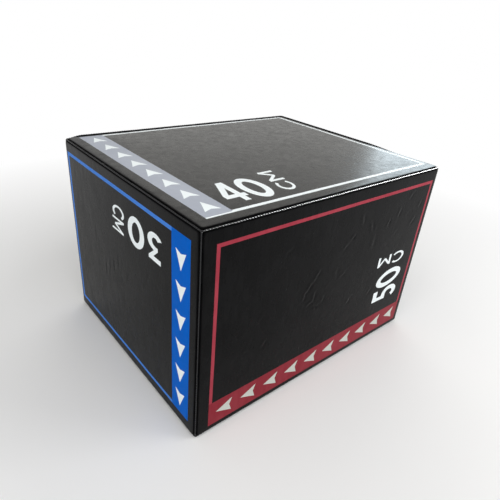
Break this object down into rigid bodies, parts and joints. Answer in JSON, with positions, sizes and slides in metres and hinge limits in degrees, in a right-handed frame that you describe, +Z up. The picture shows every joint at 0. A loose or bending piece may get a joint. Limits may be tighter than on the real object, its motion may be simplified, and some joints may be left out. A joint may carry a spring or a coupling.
{
  "type": "plyo box",
  "caption": "Soft-sided plyo box with a piped, printed vinyl cover zipped over foam slabs and a plywood core; it stands on any face to give different jump heights.",
  "frame": {"origin": "middle of the base, on the surface that the box stands on", "axes": "+X along the longest side, +Y from the red-printed front face to the zipped back face, +Z up"},
  "size_m": [0.48, 0.3946, 0.32],
  "materials": {
    "vinyl": "black coated vinyl with a fine grain and soft sheen",
    "piping": "black vinyl piping",
    "zip_tape": "black woven polyester tape",
    "zip_teeth": "black moulded plastic",
    "zip_metal": "black lacquered die casting with worn edges",
    "foam": "closed-cell foam",
    "plywood": "bare birch plywood"
  },
  "bodies": {
    "box": {"top_panel": "vinyl", "bottom_panel": "vinyl", "front_panel": "vinyl", "left_panel": "vinyl", "right_panel": "vinyl", "back_border": "vinyl", "back_flap": "vinyl", "welt_top": "piping", "welt_bottom": "piping", "welt_front_left": "piping", "welt_front_right": "piping", "welt_back_left": "piping", "welt_back_right": "piping", "zip_tape_border": "zip_tape", "zip_tape_flap": "zip_tape", "zip_teeth_border": "zip_teeth", "zip_teeth_flap": "zip_teeth", "zip_end_stops": "zip_teeth", "zip_start_stop": "zip_teeth", "zip_end_tabs": "vinyl", "foam_top": "foam", "foam_bottom": "foam", "foam_front": "foam", "foam_back": "foam", "foam_left": "foam", "foam_right": "foam", "ply_top": "plywood", "ply_bottom": "plywood", "ply_front": "plywood", "ply_back": "plywood", "ply_left": "plywood", "ply_right": "plywood", "ply_divider": "plywood"},
    "slider": {"zip_slider": "zip_metal"},
    "pull": {"zip_pull": "zip_metal"}
  },
  "joints": [
    {"name": "zip_slide", "type": "slide", "parent": "box", "child": "slider", "axis": [0, 0, 1], "range_m": [0, 0.205], "deforming": ["zip_teeth_border", "zip_teeth_flap"]},
    {"name": "pull_swing", "type": "hinge", "parent": "slider", "child": "pull", "pos_m": [0.208, 0.1973, 0.0391], "axis": [1, 0, 0], "range_deg": [0, 175]}
  ]
}
